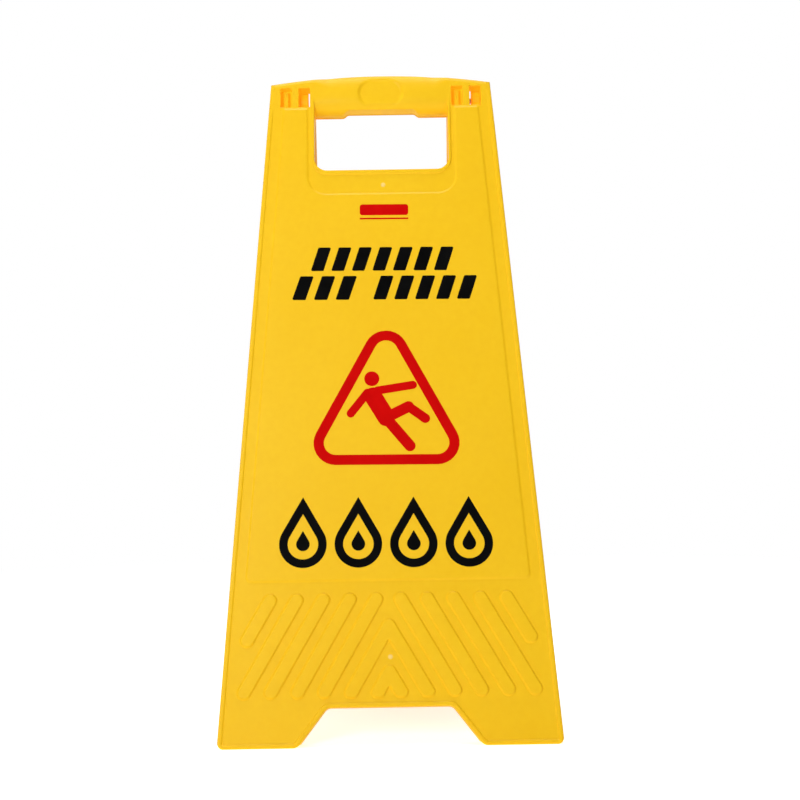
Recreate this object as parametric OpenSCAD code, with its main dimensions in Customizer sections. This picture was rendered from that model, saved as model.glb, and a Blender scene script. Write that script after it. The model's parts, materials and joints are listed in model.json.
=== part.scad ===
// Folding wet floor sign: two identical moulded panels that hinge at the top.
// Each panel is drawn flat first: X runs across it, Y up its slope from the feet,
// and Z out of its face, with the face at Z 0. It is then stood up at its lean.

/* [Panels] */
// Length of a panel up its slope, to the middle of its curved top
panel_length = 622; // [612:1:640]
// Width across the feet
foot_width = 300; // [290:1:320]
// Width across the top corners
top_width = 206; // [204:1:212]
// Rise of the curved top edge above its corners
top_rise = 8; // [6:0.5:9]
// Depth of a panel, from its face to the plane where the two panels meet
panel_depth = 16; // [15:0.5:18]
// Thickness of the moulded wall
wall = 2.2; // [1.8:0.1:2.6]
// Lean of each panel from upright while the sign stands open
lean = 13; // [10:0.5:15]
// Gap left on each panel where the two would touch
meeting_gap = 0.15; // [0.1:0.05:0.3]

/* [Feet] */
// Height of the arch between the feet
arch_height = 34; // [26:1:38]
// Width of the arch at its top
arch_top_width = 109; // [100:1:116]
// Width of the arch at the floor
arch_floor_width = 161; // [150:1:170]

/* [Raised rim] */
// Width of the raised rim around the panel
rim_width = 4; // [3:0.5:5]
// Height of the raised rim above the face
rim_height = 1.2; // [0.8:0.1:1.6]

/* [Label field] */
// Distance of the label field's lower edge above the feet
field_bottom = 144; // [141:1:148]
// Distance of the label field's sides from the panel's sides
field_margin = 14; // [12:0.5:16]
// Height of the label field above the face
field_height = 1.2; // [0.8:0.1:1.6]

/* [Hand opening] */
// Width of the hand opening
opening_width = 125; // [116:1:127]
// Distance of the hand opening's lower edge below the top
opening_drop = 95.5; // [88:0.5:98]
// Corner radius of the hand opening
opening_radius = 11.5; // [8:0.5:14]
// Width of the raised lip around the hand opening
lip_width = 3.4; // [2.5:0.1:3.6]
// Width of the sunk channel beyond the lip, at the sides
channel_width = 3.1; // [2:0.1:3.4]
// Width of the sunk channel beyond the lip, below the opening
channel_drop = 20; // [16:0.5:22]

/* [Grip] */
// Distance of the grip's underside below the top
grip_drop = 37; // [36:0.5:39]
// Height of the grip's front above the face
grip_height = 1.2; // [0.8:0.1:1.6]
// Width of the relief under the middle of the grip
relief_width = 70; // [60:1:80]
// Depth of the relief under the middle of the grip
relief_depth = 3; // [2:0.5:3]
// Half width of the oval thumb pad
pad_half_width = 21; // [16:0.5:24]
// Half height of the oval thumb pad
pad_half_height = 15.8; // [12:0.2:16]
// Depth of the thumb pad's flat below the grip's front
pad_depth = 2.1; // [1.5:0.1:2.5]
// Height of the long rounding along the grip's top
grip_round_height = 13; // [10:0.5:14]
// Depth of the long rounding along the grip's top
grip_round_depth = 7; // [5:0.5:10]

/* [Hinge] */
// Distance of the hinge axis below the top
hinge_drop = 22; // [21:0.5:23]
// Distance of the inner windows from the middle
window_start = 66.5; // [66:0.5:67]
// Width of each hinge window
window_width = 10.5; // [10:0.1:10.6]
// Distance from one window to the next
window_step = 17; // [16.6:0.1:17]
// Height of each hinge window
window_height = 19; // [17:0.5:20]
// Diameter of the hinge pins
pin_diameter = 5; // [4:0.5:5.5]
// Diameter of the hinge knuckles
knuckle_diameter = 16.4; // [15.9:0.1:16.8]
// Running clearance on radius between a pin and the knuckle that turns on it
running_clearance = 0.04; // [0.02:0.01:0.08]
// Interference on radius between a pin and the knuckle that holds it
pin_interference = 0.02; // [0.01:0.01:0.03]

/* [Ribs] */
// Height of the ribs above the face
rib_height = 1.8; // [1.4:0.1:2.2]
// Width of a rib, measured across the page
rib_width = 13.8; // [12:0.1:14]
// Distance from one rib to the next, measured across the page
rib_pitch = 23.3; // [22:0.1:23.5]
// Distance of the ribs' lower ends above the feet
rib_bottom = 42; // [41:0.5:44]
// Distance of the ribs' upper ends above the feet
rib_top = 133; // [128:1:135]
// Sideways run of a full rib from its upper end to its lower end
rib_run = 52.5; // [50:0.5:54]

/* [Print] */
// Thickness of a printed mark
ink_thickness = 0.12; // [0.1:0.01:0.2]
// Width of the red line of the warning triangle
triangle_line = 9.2; // [8:0.2:12]
// Width of the black line of the water drops
drop_line = 7.5; // [6:0.5:9]
// Degrees by which the print is turned on the panel
print_turn = 0.5; // [0:0.1:1]

/* [Hidden] */
$fn = 48;

yellow = [0.98, 0.76, 0.10];
black = [0.05, 0.05, 0.05];
red = [0.80, 0.06, 0.04];
steel = [0.70, 0.71, 0.72];

arc_steps = 6;          // straight pieces that make up one rounded corner
top_steps = 16;         // straight pieces that make up the curved top
overlap = 0.5;          // how far joined shapes run into each other
beyond = 5;             // how far a cutting shape runs past what it cuts
ink_gap = 0.02;         // gap between a printed mark and the field under it
mark_x = 1;             // how far the triangle and its figure sit to the right of the middle

corner_y = panel_length - top_rise;
top_radius = (top_width * top_width / 4 + top_rise * top_rise) / (2 * top_rise);
top_center_y = panel_length - top_radius;
back_z = meeting_gap - panel_depth;
hinge_y = panel_length - hinge_drop;
hinge_height = hinge_y * cos(lean) - panel_depth * sin(lean);
window_bottom = hinge_y - window_height / 2 - 0.5;
window_top = window_bottom + window_height;
opening_bottom = panel_length - opening_drop;
grip_bottom = panel_length - grip_drop;
side_slope = (foot_width - top_width) / 2 / corner_y;
pin_radius = pin_diameter / 2;
knuckle_gap = 2.2;      // free space beside a knuckle, on its inner side
pin_start = window_start + knuckle_gap + 0.3;
pin_end = window_start + window_step + window_width - 0.5;
knuckle_floor_z = -8;   // depth of the plate that carries a knuckle
knuckle_bar_z = -3;     // depth of the bar in front of that plate
side_clearance = 0.3;   // free space beside a knuckle, on its outer side

// Outlines ---------------------------------------------------------------

function unit(v) = v / norm(v);
function around(list, i) = list[(i + len(list)) % len(list)];
function left_of(v) = [-v.y, v.x];

// A counter-clockwise outline with every side moved inwards by gap
function inset(points, gap) = [
    for (i = [0 : len(points) - 1])
        let (
            before = left_of(unit(points[i] - around(points, i - 1))),
            after = left_of(unit(around(points, i + 1) - points[i]))
        )
        points[i] + gap * (before + after) / (1 + before * after)
];

// The arc that replaces corner b between its neighbours a and c
function corner_arc(a, b, c, radius) =
    let (
        to_a = unit(a - b),
        to_c = unit(c - b),
        half = acos(to_a * to_c) / 2,
        center = b + unit(to_a + to_c) * radius / sin(half),
        start = b + to_a * radius / tan(half) - center,
        finish = b + to_c * radius / tan(half) - center,
        from = atan2(start.y, start.x),
        turn = (atan2(finish.y, finish.x) - from + 540) % 360 - 180
    )
    [
        for (k = [0 : arc_steps])
            center + radius * [cos(from + turn * k / arc_steps), sin(from + turn * k / arc_steps)]
    ];

// An outline with its corners rounded to the given radii, where 0 keeps a corner sharp
function rounded(points, radii) = [
    for (i = [0 : len(points) - 1])
        each radii[i] > 0
            ? corner_arc(around(points, i - 1), points[i], around(points, i + 1), radii[i])
            : [points[i]]
];

function rectangle(x0, x1, y0, y1) = [[x0, y0], [x1, y0], [x1, y1], [x0, y1]];

// Half width of the panel at height y above the feet
function half_width(y) = foot_width / 2 - y * side_slope;

// The curved top from its right corner to its left corner, without the corners
function top_arc() =
    let (reach = asin(top_width / 2 / top_radius))
    [
        for (k = [1 : top_steps - 1])
            let (angle = 90 - reach + 2 * reach * k / top_steps)
            [0, top_center_y] + top_radius * [cos(angle), sin(angle)]
    ];

function sharp_outline() = concat(
    [[foot_width / 2, 0], [top_width / 2, corner_y]],
    top_arc(),
    [[-top_width / 2, corner_y], [-foot_width / 2, 0]],
    [[-arch_floor_width / 2, 0], [-arch_top_width / 2, arch_height]],
    [[arch_top_width / 2, arch_height], [arch_floor_width / 2, 0]]
);

// Corner radii of the outline moved inwards by gap, in the order of sharp_outline
function outline_radii(gap) =
    let (
        outer_foot = max(5.5 - gap, 0.6),
        inner_foot = max(9 - gap, 0.6),
        top_corner = max(1.5 - gap, 0.6),
        arch_corner = 7 + gap
    )
    concat(
        [outer_foot, top_corner],
        [for (k = [1 : top_steps - 1]) 0],
        [top_corner, outer_foot, inner_foot, arch_corner, arch_corner, inner_foot]
    );

function outline(gap) = rounded(inset(sharp_outline(), gap), outline_radii(gap));

// The hand opening with its sides moved outwards by grow, open towards the top
function opening_outline(side_grow, bottom_grow, radius) =
    let (
        half = opening_width / 2 + side_grow,
        bottom = opening_bottom - bottom_grow
    )
    rounded(rectangle(-half, half, bottom, window_bottom), [radius, radius, 0, 0]);

function field_outline(gap) =
    let (
        bottom = field_bottom + gap,
        top = window_bottom - wall - gap,
        margin = field_margin + gap
    )
    rounded(
        [
            [-half_width(bottom) + margin, bottom],
            [half_width(bottom) - margin, bottom],
            [half_width(top) - margin, top],
            [-half_width(top) + margin, top]
        ],
        [4, 4, 1.5, 1.5]
    );

// The front of the grip seen from its end, as [height up the panel, height above the face].
// Its underside is a quarter of a curve much fuller than an ellipse.
function grip_profile(gap) =
    let (
        bottom = grip_bottom + gap,
        round_y = 12,
        round_z = panel_depth + grip_height - gap,
        fullness = 0.5,
        steps = 10
    )
    concat(
        [
            for (k = [0 : steps])
                [
                    bottom + round_y * (1 - pow(cos(k * 90 / steps), fullness)),
                    -panel_depth + round_z * pow(sin(k * 90 / steps), fullness)
                ]
        ],
        [[panel_length + beyond, grip_height - gap], [panel_length + beyond, -panel_depth]]
    );

// The panel --------------------------------------------------------------

module slab(from_z, to_z) {
    translate([0, 0, from_z])
        linear_extrude(height = to_z - from_z)
            children();
}

module block(x0, x1, y0, y1, z0, z1) {
    translate([x0, y0, z0])
        cube([x1 - x0, y1 - y0, z1 - z0]);
}

// A rod along X on the hinge axis
module rod(x0, x1, radius) {
    translate([x0, hinge_y, -panel_depth])
        rotate([0, 90, 0])
            cylinder(h = x1 - x0, r = radius);
}

// The outer form with its field, lip and rim, still solid behind
module face_solid() {
    slab(back_z - beyond, 0)
        polygon(outline(0));
    slab(-overlap, rim_height)
        difference() {
            polygon(outline(0));
            polygon(outline(rim_width));
        }
    slab(-overlap, field_height)
        difference() {
            polygon(field_outline(0));
            polygon(opening_outline(lip_width + channel_width, channel_drop + lip_width, 17));
        }
    slab(-overlap, field_height)
        polygon(opening_outline(lip_width, lip_width, opening_radius + lip_width));
}

// The hollow behind the face, which leaves the walls and the solid hinge blocks
module hollow() {
    slab(back_z - 2 * beyond, -wall)
        difference() {
            polygon(outline(wall));
            polygon(opening_outline(wall, wall, opening_radius + wall));
            polygon(rectangle(-foot_width, foot_width, window_bottom - wall, panel_length));
        }
    slab(-wall - overlap, field_height - wall)
        difference() {
            polygon(field_outline(wall));
            polygon(opening_outline(lip_width + channel_width + wall,
                channel_drop + lip_width + wall, 17 + wall));
        }
}

// Everything behind a sloping plane that keeps the feet flat on the floor
module below_floor(rise) {
    rotate([lean, 0, 0])
        translate([-foot_width, -60, -60])
            cube([2 * foot_width, 60 + rise, 120]);
}

// One side's upper edge at the back is bevelled, so that the panels meet there when open
module past_stop() {
    translate([-foot_width, hinge_y, -panel_depth])
        rotate([lean, 0, 0])
            translate([0, -60, -60])
                cube([2 * foot_width, 120, 60 + meeting_gap]);
}

module grip() {
    reach = opening_width / 2 + overlap;
    difference() {
        translate([-reach, 0, 0])
            rotate([90, 0, 90])
                linear_extrude(height = 2 * reach)
                    polygon(grip_profile(0));
        translate([-reach + wall, 0, 0])
            rotate([90, 0, 90])
                linear_extrude(height = 2 * (reach - wall))
                    intersection() {
                        polygon(grip_profile(wall));
                        polygon(rectangle(grip_bottom + relief_depth + wall,
                            panel_length - top_rise, -panel_depth - beyond,
                            grip_height - pad_depth - wall));
                    }
        slab(-panel_depth - beyond, beyond)
            polygon([
                [-relief_width / 2, grip_bottom - beyond],
                [relief_width / 2, grip_bottom - beyond],
                [relief_width / 2, grip_bottom],
                [relief_width / 2 - relief_depth, grip_bottom + relief_depth],
                [-relief_width / 2 + relief_depth, grip_bottom + relief_depth],
                [-relief_width / 2, grip_bottom]
            ]);
        thumb_pad();
        edge_rounding(opening_width / 2 - 6, grip_round_height, grip_round_depth, 6);
    }
}

// An oval flat on the grip's front, for a thumb
module thumb_pad() {
    center_y = panel_length - 19;
    lower_depth = 0.6;      // depth of the pad where the grip curves away under it
    difference() {
        slab(-panel_depth / 2, beyond)
            translate([0, center_y])
                polygon([
                    for (k = [0 : 31])
                        [pad_half_width * cos(k * 360 / 32), pad_half_height * sin(k * 360 / 32)]
                ]);
        intersection() {
            slab(-panel_depth, grip_height - pad_depth)
                polygon(rectangle(-foot_width, foot_width, grip_bottom, panel_length));
            translate([-foot_width / 2, 0, 0])
                rotate([90, 0, 90])
                    linear_extrude(height = foot_width)
                        polygon(grip_profile(lower_depth));
        }
    }
}

// What a rounding of the given height and depth takes off the curved top edge, out to x = half
module edge_rounding(half, height, depth, steps) {
    reach = asin(half / top_radius);
    translate([0, top_center_y, 0])
        rotate([0, 0, 90 - reach])
            rotate_extrude(angle = 2 * reach, $fn = 360)
                polygon(concat(
                    [[top_radius + beyond, grip_height + 1], [top_radius - height, grip_height + 1]],
                    [
                        for (k = [0 : steps])
                            let (angle = 90 * k / steps)
                            [
                                top_radius - height * (1 - sin(angle)),
                                grip_height - depth * (1 - cos(angle))
                            ]
                    ],
                    [[top_radius + beyond, grip_height - depth]]
                ));
}

module windows() {
    for (side = [-1, 1], place = [0, 1])
        let (start = window_start + place * window_step)
            block(
                side > 0 ? start : -start - window_width,
                side > 0 ? start + window_width : -start,
                window_bottom, window_top, back_z - beyond, beyond
            );
}

// What carries a knuckle in the window from x0: a plate that stops left and right short of
// the window's sides, with a bar in front of it
module knuckle_mount(x0, left, right) {
    middle = x0 + window_width / 2;
    block(x0 + left, x0 + window_width - right, window_bottom - overlap, window_top + overlap,
        knuckle_floor_z - wall, knuckle_floor_z);
    block(middle - 2, middle + 2, window_bottom - overlap, window_top - 2,
        knuckle_floor_z - overlap, knuckle_bar_z);
}

module rib(upper_x, lower_y) {
    lower_x = upper_x + (rib_top - lower_y) * rib_run / (rib_top - rib_bottom);
    corner = 0.42 * rib_width;
    slab(-overlap, rib_height)
        polygon(rounded(
            [
                [lower_x - rib_width / 2, lower_y], [lower_x + rib_width / 2, lower_y],
                [upper_x + rib_width / 2, rib_top], [upper_x - rib_width / 2, rib_top]
            ],
            [corner, corner, corner, corner]
        ));
}

// An upside-down V made of two ribs that meet
module chevron(apex_y, leg_x) {
    slope = leg_x / (apex_y - rib_bottom);
    rise = rib_width / 2 / slope;
    slab(-overlap, rib_height)
        polygon(rounded(
            [
                [leg_x - rib_width / 2, rib_bottom], [leg_x + rib_width / 2, rib_bottom],
                [0, apex_y + rise],
                [-leg_x - rib_width / 2, rib_bottom], [-leg_x + rib_width / 2, rib_bottom],
                [0, apex_y - rise]
            ],
            [4, 4, 6, 4, 4, 0.8]
        ));
}

module rib_field() {
    first_x = 7.4;
    short_end = 87;
    for (side = [0, 1])
        mirror([side, 0, 0]) {
            for (k = [0 : 3])
                rib(first_x + k * rib_pitch, rib_bottom);
            rib(first_x + 4 * rib_pitch, short_end);
        }
    chevron(104, 36);
    chevron(64, 12.7);
}

// Two small round moulding marks
module gate_marks() {
    for (y = [opening_bottom - 15, 77])
        translate([0, y, -overlap])
            cylinder(h = overlap + 0.4, r = 1.8);
}

// With slots, the plates behind the windows leave the gap beside each knuckle open
module flat_panel(slots) {
    outer_window = -window_start - window_step - window_width;
    gap_side = slots ? knuckle_gap : -overlap;
    difference() {
        union() {
            difference() {
                face_solid();
                hollow();
                slab(back_z - 2 * beyond, beyond)
                    polygon(opening_outline(0, 0, opening_radius));
                windows();
            }
            intersection() {
                grip();
                slab(back_z - beyond, beyond)
                    polygon(outline(0));
            }
            knuckle_mount(outer_window, -overlap, gap_side);
            knuckle_mount(window_start, gap_side, -overlap);
            rib_field();
            gate_marks();
        }
        edge_rounding(foot_width / 2, 4.5, 4.5, 3);
        below_floor(0);
        past_stop();
        block(-foot_width, foot_width, -beyond, panel_length + beyond, -60, back_z);
        for (side = [-1, 1])
            let (inner_end = side * (window_start + 1), outer_end = side * (pin_end + side_clearance))
                rod(min(inner_end, outer_end), max(inner_end, outer_end), pin_radius + 0.06);
    }
    foot_floors();
    knuckle(outer_window + side_clearance, outer_window + window_width - knuckle_gap,
        pin_radius - pin_interference);
    knuckle(window_start + knuckle_gap, window_start + window_width - side_clearance,
        pin_radius + running_clearance);
}

// The sloping floor of each hollow foot
module foot_floors() {
    difference() {
        slab(back_z, -overlap)
            difference() {
                polygon(outline(wall / 2));
                polygon(rectangle(-foot_width, foot_width, arch_height / 3, panel_length));
            }
        below_floor(0);
        difference() {
            block(-foot_width, foot_width, -beyond, arch_height, -60, beyond);
            below_floor(wall);
        }
    }
}

// A round eye on the hinge axis, bored for a pin, that its window's plate carries
module knuckle(x0, x1, bore_radius) {
    difference() {
        rod(x0, x1, knuckle_diameter / 2);
        rod(x0 - beyond, x1 + beyond, bore_radius);
    }
}

// Printed marks ----------------------------------------------------------

// The print, which lies a little turned on the label field
module ink() {
    center_y = 320;
    slab(field_height + ink_gap, field_height + ink_gap + ink_thickness)
        translate([0, center_y])
            rotate(-print_turn)
                translate([0, -center_y])
                    children();
}

// A straight stroke with round ends, from a to b
module stroke(a, b, width) {
    along = atan2(b.y - a.y, b.x - a.x);
    polygon([
        for (end = [0, 1], k = [0 : 2 * arc_steps])
            let (angle = along + 90 + 180 * (end + k / (2 * arc_steps)))
            (end == 0 ? a : b) + width / 2 * [cos(angle), sin(angle)]
    ]);
}

module warning_triangle() {
    bottom = 247;
    half = 79;
    apex = 393;
    radius = 20;
    sharp = [[mark_x - half, bottom], [mark_x + half, bottom], [mark_x, apex]];
    hole = radius - triangle_line;
    ink()
        difference() {
            polygon(rounded(sharp, [radius, radius, radius]));
            polygon(rounded(inset(sharp, triangle_line), [hole, hole, hole]));
        }
}

// A plain figure that slips backwards: a head, and round-ended strokes for body and limbs
module slip_figure() {
    hip = [0, 290];
    knee = [20, 300];
    ink()
        translate([mark_x, 0]) {
            translate([-13, 326])
                circle(r = 6.8);
            stroke([-12, 310], hip, 16);
            stroke([-17, 313], [-32, 294], 7.5);
            stroke([-8, 315], [24, 320], 7.5);
            stroke(hip, knee, 10);
            stroke(knee, [35, 289], 8.5);
            stroke([1, 288], [21, 264], 10);
        }
}

// A row of slanted dashes, as wide and as high as a word
module dash_row(x0, x1, y0, y1, count) {
    pitch = (x1 - x0) / count;
    width = pitch * 0.62;
    slant = pitch * 0.38;
    for (k = [0 : count - 1])
        translate([x0 + k * pitch, 0])
            polygon(rounded(
                [[0, y0], [width, y0], [width + slant, y1], [slant, y1]],
                [1.2, 1.2, 1.2, 1.2]
            ));
}

module hazard_dashes() {
    ink() {
        dash_row(-67.5, 64, 428, 450.5, 7);
        dash_row(-84.5, -25, 400.5, 423, 3);
        dash_row(-10.5, 85, 400.5, 423, 5);
    }
}

// A drop outline around the origin: a circle and its two tangents, which meet above it
module drop_shape(radius) {
    circle(r = radius, $fn = 64);
    polygon([[radius * cos(30), radius * sin(30)], [0, 2 * radius], [-radius * cos(30), radius * sin(30)]]);
}

module water_drops() {
    radius = 21;
    ink()
        for (k = [-1.5, -0.5, 0.5, 1.5])
            translate([k * 49, 176]) {
                difference() {
                    drop_shape(radius);
                    drop_shape(radius - drop_line);
                }
                drop_shape(radius - 2 * drop_line);
            }
}

// A plain bar over a thin line
module maker_bar() {
    half = 22.4;
    ink() {
        polygon(rounded(rectangle(-half, half, 481.5, 492), [2.5, 2.5, 2.5, 2.5]));
        polygon(rectangle(-half, half, 477.5, 479));
    }
}

// Assembly ---------------------------------------------------------------

// Stands a flat shape up as the front of the sign, at its lean
module stand_front() {
    translate([0, 0, hinge_height])
        rotate([-lean, 0, 0])
            rotate([90, 0, 0])
                translate([0, -hinge_y, panel_depth])
                    children();
}

module stand_rear() {
    rotate([0, 0, 180])
        stand_front()
            children();
}

module hinge_pin() {
    tip = 0.5;
    translate([pin_start, 0, hinge_height])
        rotate([0, 90, 0]) {
            translate([0, 0, tip])
                cylinder(h = pin_end - pin_start - 2 * tip, r = pin_radius);
            cylinder(h = tip + 0.01, r1 = pin_radius - tip, r2 = pin_radius);
            translate([0, 0, pin_end - pin_start - tip - 0.01])
                cylinder(h = tip + 0.01, r1 = pin_radius, r2 = pin_radius - tip);
        }
}

module front_panel() { color(yellow) stand_front() flat_panel(false); }
module rear_panel() { color(yellow) stand_rear() flat_panel(true); }
module right_hinge_pin() { color(steel) hinge_pin(); }
module left_hinge_pin() { color(steel) rotate([0, 0, 180]) hinge_pin(); }
module front_warning_triangle() { color(red) stand_front() warning_triangle(); }
module front_slip_figure() { color(red) stand_front() slip_figure(); }
module front_hazard_dashes() { color(black) stand_front() hazard_dashes(); }
module front_water_drops() { color(black) stand_front() water_drops(); }
module front_maker_bar() { color(red) stand_front() maker_bar(); }
module rear_warning_triangle() { color(red) stand_rear() warning_triangle(); }
module rear_slip_figure() { color(red) stand_rear() slip_figure(); }
module rear_hazard_dashes() { color(black) stand_rear() hazard_dashes(); }
module rear_water_drops() { color(black) stand_rear() water_drops(); }
module rear_maker_bar() { color(red) stand_rear() maker_bar(); }

front_panel();
rear_panel();
left_hinge_pin();
right_hinge_pin();
front_warning_triangle();
front_slip_figure();
front_hazard_dashes();
front_water_drops();
front_maker_bar();
rear_warning_triangle();
rear_slip_figure();
rear_hazard_dashes();
rear_water_drops();
rear_maker_bar();
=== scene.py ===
import json
import math

import bmesh
import bpy
from mathutils import Matrix, Vector
from mathutils.geometry import delaunay_2d_cdt


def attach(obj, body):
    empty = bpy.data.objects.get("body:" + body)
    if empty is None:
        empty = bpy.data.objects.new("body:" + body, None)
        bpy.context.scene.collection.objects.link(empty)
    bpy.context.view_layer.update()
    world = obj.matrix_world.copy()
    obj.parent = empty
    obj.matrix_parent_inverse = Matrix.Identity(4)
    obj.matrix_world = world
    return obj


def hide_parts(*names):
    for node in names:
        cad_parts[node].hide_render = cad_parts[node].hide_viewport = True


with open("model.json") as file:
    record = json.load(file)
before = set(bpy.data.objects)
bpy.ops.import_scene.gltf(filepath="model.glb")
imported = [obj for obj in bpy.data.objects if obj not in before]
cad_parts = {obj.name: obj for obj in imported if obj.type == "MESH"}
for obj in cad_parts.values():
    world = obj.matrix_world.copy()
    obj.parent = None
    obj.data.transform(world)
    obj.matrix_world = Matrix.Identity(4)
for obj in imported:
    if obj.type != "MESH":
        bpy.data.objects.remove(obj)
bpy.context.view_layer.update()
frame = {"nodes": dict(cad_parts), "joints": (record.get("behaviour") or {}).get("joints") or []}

# Folding wet floor sign: two moulded panels, drawn in millimetres on the panel itself. They are alike,
# but the rear one has slots beside its knuckles. x runs across the panel, y up its slope from the feet,
# and z out of its face, with the face at z 0. panel_point() stands such a point up in the frame's metres.

FOLD = next(j for j in frame["joints"] if j["name"] == "fold")
LEAN = math.radians(-FOLD["range_deg"][0] / 2)      # each panel's lean while the sign stands open
HINGE = Vector(FOLD["pos_m"])

PANEL_DEPTH = 16.0       # from the face to the plane where the two panels meet
HINGE_Y = (HINGE.z * 1000 + PANEL_DEPTH * math.sin(LEAN)) / math.cos(LEAN)
PANEL_LENGTH = HINGE_Y + 22.0
FOOT_WIDTH = 300.0
TOP_WIDTH = 206.0
TOP_RISE = 8.0           # how far the middle of the curved top is above its corners
CORNER_Y = PANEL_LENGTH - TOP_RISE
TOP_RADIUS = (TOP_WIDTH ** 2 / 4 + TOP_RISE ** 2) / (2 * TOP_RISE)
CORNER_RADIUS = 1.2      # the panel's two upper corners
FOOT_RADIUS = 5.5
JOINT_RADIUS = 0.6       # where the top edge turns down beside the grip
WALL = 2.2
WALL_FILLET = 0.9        # the rounding between the hollow's walls and its ceiling
HOLLOW_MARGIN = 0.3      # how much thicker the hollow's lower walls are, above the floor
MEETING_GAP = 0.15       # free space between a panel's back and that plane
BACK_Z = MEETING_GAP - PANEL_DEPTH

ARCH_HEIGHT = 34.0       # the arch between the feet, with its width at the top and at the floor
ARCH_TOP = 109.0
ARCH_FLOOR = 161.0
ARCH_TOP_RADIUS = 7.0
ARCH_FLOOR_RADIUS = 9.0

RIM_HEIGHT = 1.2         # the raised rim, the lip and the label field share one height
FIELD_BOTTOM = 144.0
FIELD_MARGIN = 14.0
FIELD_TOP = HINGE_Y - 12.2
FIELD_SHORT = 2.6        # how far below the hollow's upper end the field stops behind
FIELD_SOFTNESS = 1.5     # half the width of the slope round the field

OPENING_HALF = 62.5
OPENING_BOTTOM = PANEL_LENGTH - 95.5
OPENING_RADIUS = 11.5
CHANNEL_HALF = 69.0      # outer edge of the sunk channel round the hand opening
CHANNEL_BOTTOM = OPENING_BOTTOM - 23.6

GRIP_BOTTOM = PANEL_LENGTH - 37.0
GRIP_LOW_CURVE = 17.0    # height of the grip's curved underside
GRIP_FULLNESS = 0.75     # 1 makes that curve an ellipse, and less makes it fuller
GRIP_TOP_Y = 17.0        # height and depth of the rounding along the grip's top
GRIP_TOP_Z = 7.0
GRIP_MERGE = 16.0        # how far from a column that rounding takes to grow to its full size
GRIP_RAMP = 30.0         # how far from a column the grip's front takes to rise to the rim's height
GRIP_OVERLAP = 2.9       # how far the grip's skin runs over the columns
SKIN_GAP = 0.03          # how far its ends lie above the columns
PAD_X, PAD_Y = 21.0, 15.8         # half width and half height of the thumb pad
PAD_CENTER_Y = PANEL_LENGTH - 19.0
PAD_Z = -0.9             # its flat
PAD_LOWER_DEPTH = 0.6    # its depth where the grip curves away under it
PAD_EDGE = 1.06          # where its edge starts and how wide it is, as shares of its own size
PAD_SOFTNESS = 0.15
PAD_REACH = 25.0         # half width of the finely divided middle of the grip
RELIEF_HALF = 35.0       # the flat cut under the middle of the grip
RELIEF_DEPTH = 3.0
RELIEF_RAMP = 3.5        # the slope at each end of that flat
COLUMN_TOP_Y = 5.6       # height and depth of the rounding along the top of the columns
COLUMN_TOP_Z = 5.0

WINDOW_START = 66.5      # from the middle to the inner hinge window, and from that to the outer one
WINDOW_STEP = 17.0
WINDOW_WIDTH = 10.5
WINDOW_BOTTOM = HINGE_Y - 10.0
WINDOW_TOP = HINGE_Y + 9.0
WINDOW_RADIUS = 0.8
WINDOW_SOFTNESS = 0.5    # the rounding of its rim
HINGE_ZONE = WINDOW_BOTTOM - WALL          # the panel is hollow below this height, and solid above it
PLATE_Z = -8.0           # the plate that closes a window in front of its own knuckle
KNUCKLE_RADIUS = 8.2
KNUCKLE_SOFTNESS = 0.5
KNUCKLE_SEGMENTS = 56
BAR_HALF = 2.0           # half width of the bar on that plate
BAR_Z = -3.0             # the front of that bar
BAR_RADIUS = 0.8
BAR_SHORT = 2.0          # how far the bar ends below the window's upper wall
BAR_OVERLAP = 0.3        # how far it reaches into the plate and the window's lower wall
KNUCKLE_GAP = 2.2        # free space beside a knuckle, on its inner side
SLOT_WIDTH = 2.1         # slot in the rear panel's plates, behind that free space
SIDE_CLEARANCE = 0.3     # free space beside a knuckle, on its outer side
BORE_RADIUS = 2.54

RIB_HEIGHT = 1.8         # the slanted ribs between the field and the feet
RIB_WIDTH = 13.8
RIB_PITCH = 23.3
RIB_START = 7.4          # from the middle to the upper end of the first rib
RIB_BOTTOM = 42.0
RIB_TOP = 133.0
RIB_RUN = 52.5           # sideways run of a full rib
SHORT_RIB_BOTTOM = 87.0
RIB_CORNER = 5.7
RIB_SOFTNESS = 2.0       # the slope round a rib, which starts a little outside its outline
RIB_OUTSET = 0.6
CHEVRONS = ((104.0, 36.0), (64.0, 12.7))    # height of each one's point, and sideways run of its legs

GATE_X = 1.0             # the two round moulding marks
GATE_Y = (OPENING_BOTTOM - 15, 77)
GATE_BLUSH = 2.6         # radius of the paler plastic round each mark

INK_GAP = 0.02
INK_THICKNESS = 0.08
PRINT_TURN = math.radians(0.5)      # the print lies a little turned on the panel
PRINT_CENTER_Y = 320.0
MARK_X = 1.0             # how far the triangle and its figure sit to the right of the middle

TRIANGLE_HALF = 79.0
TRIANGLE_BOTTOM = 247.0
TRIANGLE_TOP = 393.0
TRIANGLE_RADIUS = 20.0
TRIANGLE_STROKE = 9.2

DASH_HEIGHT = 22.5
DASH_RADIUS = 1.2
DASH_SHARE = 0.62        # how much of its pitch a dash fills; its slant takes the rest
UPPER_ROW = 428.0
LOWER_ROW = 400.5
DASH_WORDS = (           # from and to across the panel, lower edge, number of dashes
    (-67.5, 64.0, UPPER_ROW, 7), (-84.5, -25.0, LOWER_ROW, 3), (-10.5, 85.0, LOWER_ROW, 5),
)

DROP_Y = 176.0
DROP_STEP = 49.0
DROP_RADII = (21.0, 13.5, 6.0)    # the drop's outline, the clear ring in it and its heart

MAKER_HALF = 22.4
MAKER_BAR = (481.5, 492.0)        # from and to, up the panel
MAKER_LINE = (477.5, 479.0)

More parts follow.
